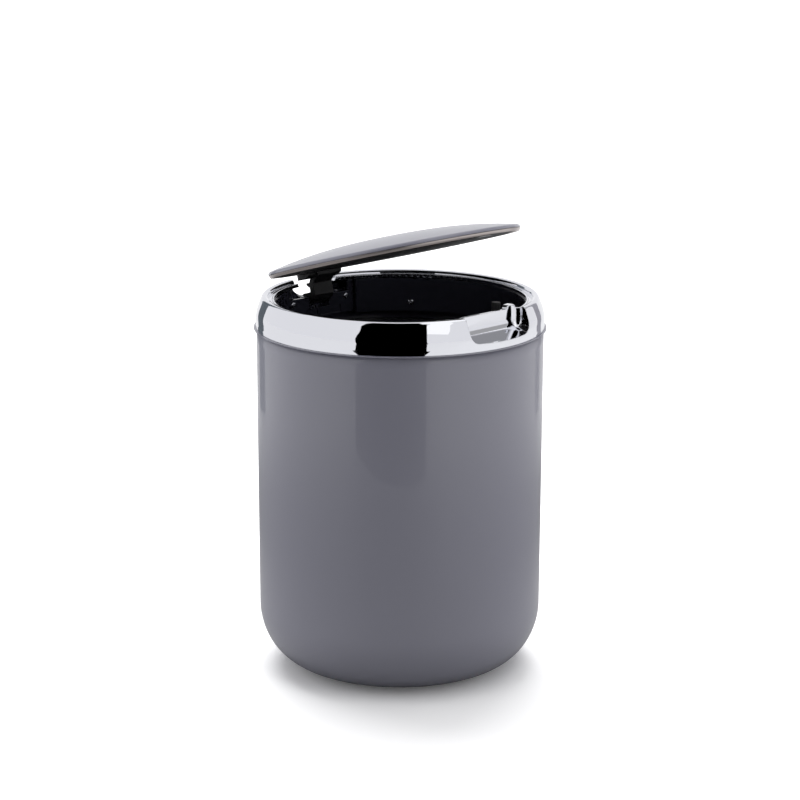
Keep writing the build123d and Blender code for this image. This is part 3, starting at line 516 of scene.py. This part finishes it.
dome_radii = [step / dome_steps * (lid_radius - lid_edge) for step in range(dome_steps + 1)]
outside = [(r, lid_edge + dome_height * (1 - (r / lid_radius) ** dome_power)) for r in dome_radii]
start_r, start_z = outside[-1]
turns = [step / edge_steps * math.pi / 2 for step in range(1, edge_steps + 1)]
edge = [(start_r + (lid_radius - start_r) * math.sin(turn), hem_turn + (start_z - hem_turn) * math.cos(turn))
        for turn in turns]
hem = [(lid_radius - hem_turn, 0.0), (lid_radius - lid_edge - hem_width, 0.0)]
inside = [(max(r - cover_sheet, 0.0), z - cover_sheet) for r, z in reversed(outside)]
section = outside + edge + hem + inside[1:]
print("points in the cover's section:", len(section))

# %% The domed cover
cover = lathe("lid_section", section)
cover.transform(lid_middle)
piece("lid_dome", cover, lacquer, "lid", "grey_lacquer", "lid_cover")

# %% [markdown]
# ## The trim ring under the lid
#
# A light, warm grey line runs round under the cover, between the lacquer and the black plate. It is a narrow
# band of bare satin steel, rolled to a ring and pressed on the plate's rim, where it also stiffens it. Its
# section is given in millimetres inside the cover's edge and below it.

# %% The trim ring
trim_section = ((0.5, 0.1), (0.3, 0.4), (0.7, 1.6), (1.3, 2.3), (2.1, 2.3), (2.4, 1.8), (2.4, 1.0),
                (1.7, 0.1))
trim = lathe("trim", [(lid_radius - inset * MM, -drop * MM) for inset, drop in trim_section], closed=True)
trim.transform(lid_middle)
piece("lid_trim_ring", trim, trim_steel, "lid", "bright_steel")

# %% [markdown]
# ## The rim with its short nose
#
# The chromed rim is one moulding. Beside the finger scoop stands a small round-topped nose, about 9 mm long,
# which houses the touch latch. Behind the nose the moulding drops to a low shelf for the latch's guide, so
# from the front only the nose stands up. The rim is a copy of the CAD moulding with that step cut in it by a
# block, which is given along the latch's direction, across it and in height. The copy's loose triangles are
# merged first, because a clean cut needs a closed solid.

# %% A block for the step behind the nose
latch_angle = math.radians(15.7)
latch_turn = Matrix.Rotation(latch_angle - math.pi / 2, 4, "Z")
step_reach = (0.0700, 0.0822)
step_side = (-0.0070, 0.0070)
step_height = (0.2592, 0.2700)

step_mesh = bpy.data.meshes.new("nose_step")
step_mesh.from_pydata([(x, y, z) for x in step_reach for y in step_side for z in step_height], [],
                      [(0, 1, 3, 2), (4, 6, 7, 5), (0, 4, 5, 1), (2, 3, 7, 6), (0, 2, 6, 4), (1, 5, 7, 3)])
step_mesh.transform(latch_turn)
step_block = in_scene("nose_step", step_mesh)
print("the shelf behind the nose is at", step_height[0])

# %% The rim with its short nose
rim_copy = frame["nodes"]["chrome_rim"].data.copy()
merge = bmesh.new()
merge.from_mesh(rim_copy)
bmesh.ops.remove_doubles(merge, verts=merge.verts, dist=SAME_POINT)
merge.to_mesh(rim_copy)
merge.free()

rim = in_scene("rim_seed", rim_copy)
boolean = rim.modifiers.new("step", "BOOLEAN")
boolean.operation = "DIFFERENCE"
boolean.solver = "EXACT"
boolean.object = step_block
rim_mesh = plain_mesh(rim, step_block)
# a lower limit than usual keeps the shallow edges round the scoop crisp
settle(rim_mesh, sharp=14.0)
piece("scoop_rim", rim_mesh, chrome, "rim_unit", "chrome", "chrome_rim")

# %% [markdown]
# ## The painted lip at the seam
#
# Where the rim meets the body, the carrier ring shows as a lip half a millimetre thick. It is sprayed with
# the body's own lacquer before assembly, so that from a distance the seam is only a fine dark line. The
# piece is the lacquered skin of that lip, open on the inside, where the black ring fills it. Its section is
# given in millimetres outside the body's wall and above its top edge.

# %% The painted lip
lip_section = ((0.52, 0.54), (1.78, 0.54), (1.84, 0.48), (1.84, 0.02), (1.78, -0.04), (0.06, -0.04))
lip = lathe("lip", [(body_radius + out * MM, body_top + up * MM) for out, up in lip_section], steps=256)
piece("painted_lip", lip, lacquer, "rim_unit", "grey_lacquer")

# %% [markdown]
# ## Cross-recess screws
#
# Eleven small pan-head screws hold the liner, the hinge, the latch and the lid's bracket. They are all the
# same but for their length, so one tree makes a screw and sets a copy on each given point, turned to the
# direction that is stored there. The head is turned like the body: a flat underside, a short straight side
# and an elliptical crown. Two crossed bars are then cut out of it for the driver.


# %% Tree of the screws
def screw_blank(tree, given):
    """The turned screw, its head's underside at zero and its shank upwards."""
    pivot = 0.005
    crown_share = 0.55
    crown, side = (add(tree, "ShaderNodeMath", {0: given["Head Height"], 1: share},
                       operation="MULTIPLY").outputs["Value"] for share in (crown_share, crown_share - 1))
    shank_x, head_x = (add(tree, "ShaderNodeMath", {0: given[name], 1: pivot},
                           operation="SUBTRACT").outputs["Value"] for name in ("Shank Radius", "Head Radius"))
    tip, tip_edge, neck, head_edge, crown_foot, middle, half_axes = (
        add(tree, "ShaderNodeCombineXYZ", {"X": x, "Y": y, "Z": z}).outputs["Vector"]
        for x, y, z in ((-pivot, given["Shank Length"], 0.0), (shank_x, given["Shank Length"], 0.0),
                        (shank_x, 0.0, 0.0), (head_x, 0.0, 0.0), (head_x, side, 0.0), (-pivot, side, 0.0),
                        (given["Head Radius"], crown, 1.0)))
    corners = (tip, tip_edge, neck, head_edge, crown_foot)
    runs = [add(tree, "GeometryNodeCurvePrimitiveLine", {"Start": a, "End": b}).outputs["Curve"]
            for a, b in zip(corners, corners[1:])]
    quarter = add(tree, "GeometryNodeCurveArc",
                  {"Resolution": 9, "Radius": 1.0, "Start Angle": 0.0, "Sweep Angle": -math.pi / 2})
    top = add(tree, "GeometryNodeTransform",
              {"Geometry": quarter.outputs["Curve"], "Translation": middle, "Scale": half_axes})
    return turned(tree, (*runs, top.outputs["Geometry"]), 32, pivot)


def cross_recess_screws():
    tree = bpy.data.node_groups.new("cross-recess screws", "GeometryNodeTree")
    tree.interface.new_socket("Geometry", in_out="INPUT", socket_type="NodeSocketGeometry")
    for name in ("Head Radius", "Head Height", "Shank Radius", "Shank Length"):
        tree.interface.new_socket(name, in_out="INPUT", socket_type="NodeSocketFloat")
    tree.interface.new_socket("Finish", in_out="INPUT", socket_type="NodeSocketMaterial")
    tree.interface.new_socket("Geometry", in_out="OUTPUT", socket_type="NodeSocketGeometry")
    given = add(tree, "NodeGroupInput").outputs
    blank = screw_blank(tree, given)
    long, narrow, deep = 0.0024, 0.0005, 0.0012
    bars = add(tree, "GeometryNodeJoinGeometry")
    for size in ((long, narrow, deep), (narrow, long, deep)):
        bar = add(tree, "GeometryNodeMeshCube", {"Size": size})
        feed(bars, {"Geometry": bar.outputs["Mesh"]})
    sunk = add(tree, "GeometryNodeTransform",
               {"Geometry": bars.outputs["Geometry"], "Translation": (0.0, 0.0, -deep)})
    recess = add(tree, "GeometryNodeMeshBoolean",
                 {"Mesh 1": blank.outputs["Geometry"], "Mesh 2": sunk.outputs["Geometry"],
                  "Self Intersection": True}, operation="DIFFERENCE", solver="EXACT")
    way = add(tree, "GeometryNodeInputNamedAttribute", {"Name": "way"}, data_type="FLOAT_VECTOR")
    turn = add(tree, "FunctionNodeAlignRotationToVector", {"Vector": way.outputs["Attribute"]}, axis="Z")
    copies = add(tree, "GeometryNodeInstanceOnPoints",
                 {"Points": given["Geometry"], "Instance": recess.outputs["Mesh"],
                  "Rotation": turn.outputs["Rotation"]})
    close_tree(tree, copies.outputs["Instances"], given["Finish"])
    return tree


screw_tree = cross_recess_screws()
print("cross-recess screws:", len(screw_tree.nodes), "nodes")

# %% [markdown]
# Each group of screws is one piece, made from bare points. A point's attribute "way" holds the direction of
# its screw's shank, from the head's underside.

# %% Points that carry the screws
HEAD_RADIUS = 0.0022


def screws(name, places, body, *nodes, length):
    """A piece with one screw at each place, a pair of the head's seat and the shank's direction."""
    seats = bpy.data.meshes.new(name + "_seats")
    seats.from_pydata([tuple(seat) for seat, _ in places], [], [])
    way = seats.attributes.new("way", "FLOAT_VECTOR", "POINT")
    for i, (_, direction) in enumerate(places):
        way.data[i].vector = direction
    mesh = grow(name, screw_tree, {"Head Radius": HEAD_RADIUS, "Head Height": 0.0013, "Shank Radius": 0.001,
                                   "Shank Length": length, "Finish": zinc}, seats)
    settle(mesh)
    piece(name, mesh, zinc, body, "bright_steel", *nodes)


print("screw heads are", 2 * HEAD_RADIUS, "m wide")

# %% Screws of the liner and the hinge
liner_inside = 0.087
liner_turn = 49.3
liner_sink = 0.0002
liner_seat = math.sqrt(liner_inside ** 2 - HEAD_RADIUS ** 2)
liner_places = []
for degrees in (liner_turn, -liner_turn, 180 - liner_turn, liner_turn - 180):
    outward = Vector((math.sin(math.radians(degrees)), -math.cos(math.radians(degrees)), 0))
    liner_places.append((outward * liner_seat + Vector((0, 0, body_top - liner_sink)), outward))
screws("liner_screws", liner_places, "rim_unit", "skirt_screws", length=0.004)

plate_front = hinge_y - 0.0046
plate_side = 0.0255
plate_level = hinge_z - 0.001
plate_places = [(Vector((x, plate_front, plate_level)), Vector((0, 1, 0))) for x in (-plate_side, plate_side)]
screws("hinge_plate_screws", plate_places, "rim_unit", "hinge_screws", length=0.006)

# %% Screws of the latch and the lid
latch_reach = 0.082
latch_level = 0.256
latch_way = Vector((math.sin(latch_angle), -math.cos(latch_angle), 0))
latch_places = [(latch_way * latch_reach + Vector((0, 0, latch_level)), Vector((0, 0, 1)))]
screws("latch_fixing", latch_places, "rim_unit", "latch_screw", length=0.005)

bracket_side = 0.013
bracket_reaches = (0.022, 0.034)
bracket_underside = 0.0191
lid_up = (lid_place.to_3x3() @ Vector((0, 0, 1))).normalized()
lid_places = [(lid_place @ Vector((x, -reach, bracket_underside)), lid_up)
              for x in (-bracket_side, bracket_side) for reach in bracket_reaches]
screws("lid_bracket_screws", lid_places, "lid", "bracket_screws", length=0.0042)

# %% [markdown]
# ## The camera
#
# A long lens from about 1.6 m draws the bin with little perspective, so the round mouth stays a narrow
# ellipse. It stands to the left of the scoop and looks slightly down. Its focal length is kept in pixels of
# an 800 pixel frame and turned to millimetres on the sensor.

# %% The camera
camera_turn = math.radians(-44.3)
camera_reach = 1.6
camera_height = 0.5825
camera_tip = math.radians(13.81)
camera_roll = math.radians(-0.13)
focal_pixels = 2347.4
frame_pixels = 800
sensor = 36

toward = Vector((math.sin(camera_turn), -math.cos(camera_turn), 0))
side = Vector((math.cos(camera_turn), math.sin(camera_turn), 0))
look = -toward * math.cos(camera_tip) - Vector((0, 0, math.sin(camera_tip)))
camera = bpy.data.objects.new("camera", bpy.data.cameras.new("camera"))
bpy.context.scene.collection.objects.link(camera)
camera.location = toward * camera_reach + Vector((0, 0, camera_height))
camera.rotation_mode = "QUATERNION"
camera.rotation_quaternion = (Matrix.Rotation(camera_roll, 4, look).to_quaternion()
                              @ look.to_track_quat("-Z", "Y"))
camera.data.sensor_width = sensor
camera.data.lens = sensor * focal_pixels / frame_pixels
camera.data.clip_end = 100
bpy.context.scene.camera = camera
bpy.context.scene.view_settings.view_transform = "Standard"
print("lens in mm:", round(camera.data.lens, 1))

# %% [markdown]
# ## The studio
#
# Chrome shows its surroundings, so the studio is as much a part of its look as the metal. The bin stands on a
# white acrylic sheet inside a white tent. The tent is open towards the camera, from the floor up and over
# the top, and that opening is what the rim shows as its black patch. Two grey stands hold the tent up
# behind, and one long lamp hangs over the right side. Every surface but the sheet is hidden from the camera.


# %% Surfaces of the studio
def stage_material(name, colour, glow=0.0):
    """A matt material for the studio, with an even white glow."""
    material, _, shader = start_material(name, colour, 1.0)
    feed(shader, {"Specular IOR Level": 0.0, "Emission Color": linear("#FFFFFF"), "Emission Strength": glow})
    return material


def sheet_of(name, rows, material, seen=False):
    """A studio surface through rows of points."""
    mesh = bpy.data.meshes.new(name)
    wide = len(rows[0])
    points = [tuple(point) for row in rows for point in row]
    faces = [(r * wide + c, r * wide + c + 1, (r + 1) * wide + c + 1, (r + 1) * wide + c)
             for r in range(len(rows) - 1) for c in range(wide - 1)]
    mesh.from_pydata(points, [], faces)
    mesh.materials.append(material)
    obj = in_scene(name, mesh)
    obj.visible_camera = seen
    return obj


def card(name, material, turn, half, distance, low, high):
    """An upright card round the bin: turn and half width in degrees from the camera, heights in metres."""
    way = toward * math.cos(math.radians(turn)) + side * math.sin(math.radians(turn))
    across = Vector((-way.y, way.x, 0)) * (distance * math.tan(math.radians(half)))
    foot, head = way * distance + Vector((0, 0, low)), way * distance + Vector((0, 0, high))
    return sheet_of(name, [[foot - across, foot + across], [head - across, head + across]], material)


bin_meshes = [obj for obj in bpy.context.scene.objects if obj.type == "MESH"]
print("meshes of the bin:", len(bin_meshes))

# %% [markdown]
# The exposure is set for the bin, so the acrylic sheet burns out to white where the camera sees it. The bin
# sees it as a duller sheet, which is what the lacquer reflects. Light Path tells the two apart. The sheet
# that the bin sees has painted shade in its colour: a grey that is darkest some 0.4 m out, where it stands
# in for the shade of the tent's edge, and brighter beyond.

# %% The tent and the sheet
world = bpy.data.worlds.new("white tent")
world.use_nodes = True
feed(world.node_tree.nodes["Background"], {"Color": linear("#FDFDFF"), "Strength": 1.0})
bpy.context.scene.world = world

acrylic = stage_material("white acrylic sheet", "#C0C0C0")
tree = acrylic.node_tree
seen_by_camera = add(tree, "ShaderNodeLightPath").outputs["Is Camera Ray"]
place = add(tree, "ShaderNodeTexCoord").outputs["Object"]
away = add(tree, "ShaderNodeVectorMath", {0: place}, operation="LENGTH")
# painted shade: a grey ramp by distance from the bin, darkest some 0.4 m out, is the sheet's colour as the bin
# sees it
painted_shade_seen_by_bin = add(tree, "ShaderNodeValToRGB", {"Fac": away.outputs["Value"]})
stops = painted_shade_seen_by_bin.color_ramp.elements
for metres, grey in ((0.2, 0.36), (0.38, 0.19), (0.52, 0.21), (0.8, 0.58)):
    stops.new(metres).color = (grey, grey, grey, 1.0)
stops.remove(stops[0])
stops.remove(stops[-1])
paper = add(tree, "ShaderNodeMapRange",
            {"Value": seen_by_camera, "To Min": painted_shade_seen_by_bin.outputs["Color"], "To Max": 1.0})
burn = add(tree, "ShaderNodeMapRange", {"Value": seen_by_camera, "To Min": 0.0, "To Max": 0.06})
feed(tree.nodes["Principled BSDF"],
     {"Base Color": paper.outputs["Result"], "Emission Strength": burn.outputs["Result"]})
floor_half = 15
floor = sheet_of("floor", [[(-floor_half, -floor_half, 0), (floor_half, -floor_half, 0)],
                           [(-floor_half, floor_half, 0), (floor_half, floor_half, 0)]], acrylic, seen=True)
print("sheet:", acrylic.name)

# %% [markdown]
# The opening is upright as far as the bin's rim and then arches over it, narrower towards the top. Each row
# is given by its lift in degrees and by how far it reaches to the left and to the right.

# %% The opening of the tent
opening_reach = 0.63
opening_base = 0.25
opening_rise = 0.75
foot_left = 0.41
foot_right = 0.217
opening_rows = ((0, 0.40, 0.217), (12, 0.40, 0.217), (20, 0.38, 0.217), (30, 0.31, 0.217),
                (38, 0.28, 0.217), (38.2, 0.29, 0.175), (50, 0.24, 0.15), (62, 0.19, 0.13))
arch = [[toward * opening_reach - side * foot_left, toward * opening_reach + side * foot_right]]
for lift, left, right in opening_rows:
    out = opening_reach * math.cos(math.radians(lift))
    up = Vector((0, 0, opening_base + opening_rise * math.sin(math.radians(lift))))
    arch.append([toward * out - side * left + up, toward * out + side * right + up])
sheet_of("tent_opening", arch, stage_material("dark opening", "#000000"))
print("rows of the opening:", len(arch))

# %% [markdown]
# Two upright stands behind the bin show as narrow grey bands near its left and right edges. On the right a
# dark card, the flag, dims the lacquer. Reflections don't show it: the chrome of the scoop sees a lighter
# card in its place, which glows a little, lights nothing and throws no shadow.

# %% Stands and cards
for name, tint, turn, half in (("stand_left", "#7A8288", -139, 7.8), ("stand_right", "#C0BFC6", 137, 5.5)):
    stand = card(name, stage_material(name, tint), turn, half, distance=0.78, low=0.0, high=1.1)
    stand.visible_shadow = False

card_turn = 98
card_half = 36
flag = card("dark_flag_right", stage_material("dark flag", "#4A4A50"), card_turn, card_half,
            distance=1.2, low=0.72, high=1.55)
flag.visible_glossy = False
light_card = card("grey_card_right", stage_material("grey card", "#000000", glow=0.46), card_turn, card_half,
                  distance=1.25, low=0.75, high=1.61)
light_card.visible_diffuse = False
light_card.visible_shadow = False
print("behind the flag:", light_card.name)

# %% [markdown]
# The lamp is one long soft box that arches over the right side. Its rows stand on an arc about the bin's
# rim, each given by its lift in degrees and by where it starts and ends on the right.

# %% The lamp over the right side
lamp_distance = 1.2
lamp_level = 0.265
lamp_rows = ((26, 0.38, 0.84), (33, 0.42, 0.88), (44, 0.46, 0.92), (62, 0.24, 0.72), (84, 0.22, 0.82),
             (106, 0.22, 0.82), (128, 0.22, 0.82))
lamp = []
for lift, start, end in lamp_rows:
    out = lamp_distance * math.cos(math.radians(lift))
    up = Vector((0, 0, lamp_level + lamp_distance * math.sin(math.radians(lift))))
    lamp.append([toward * out + side * start + up, toward * out + side * end + up])
sheet_of("overhead_box", lamp, stage_material("overhead box", "#000000", glow=1.35))
print("rows of the lamp:", len(lamp))

# %% [markdown]
# A soft key from behind shapes the shadow on the sheet. It lights nothing but the sheet, so the bin stays in
# the even light of the tent, and nothing but the bin stands in its way, so the cards throw no shadows.

# %% The key for the shadow
key = bpy.data.objects.new("soft_key", bpy.data.lights.new("soft_key", "SUN"))
bpy.context.scene.collection.objects.link(key)
key.data.energy = 2.8
key.data.angle = math.radians(45)
key_from = (-toward * 0.6 - side * 0.14 + Vector((0, 0, 1.0))).normalized()
key.rotation_mode = "QUATERNION"
key.rotation_quaternion = key_from.to_track_quat("Z", "Y")
lit_by_key = bpy.data.collections.new("lit_by_key")
lit_by_key.objects.link(floor)
key.light_linking.receiver_collection = lit_by_key
in_the_way = bpy.data.collections.new("in_the_way")
for obj in bin_meshes:
    in_the_way.objects.link(obj)
key.light_linking.blocker_collection = in_the_way
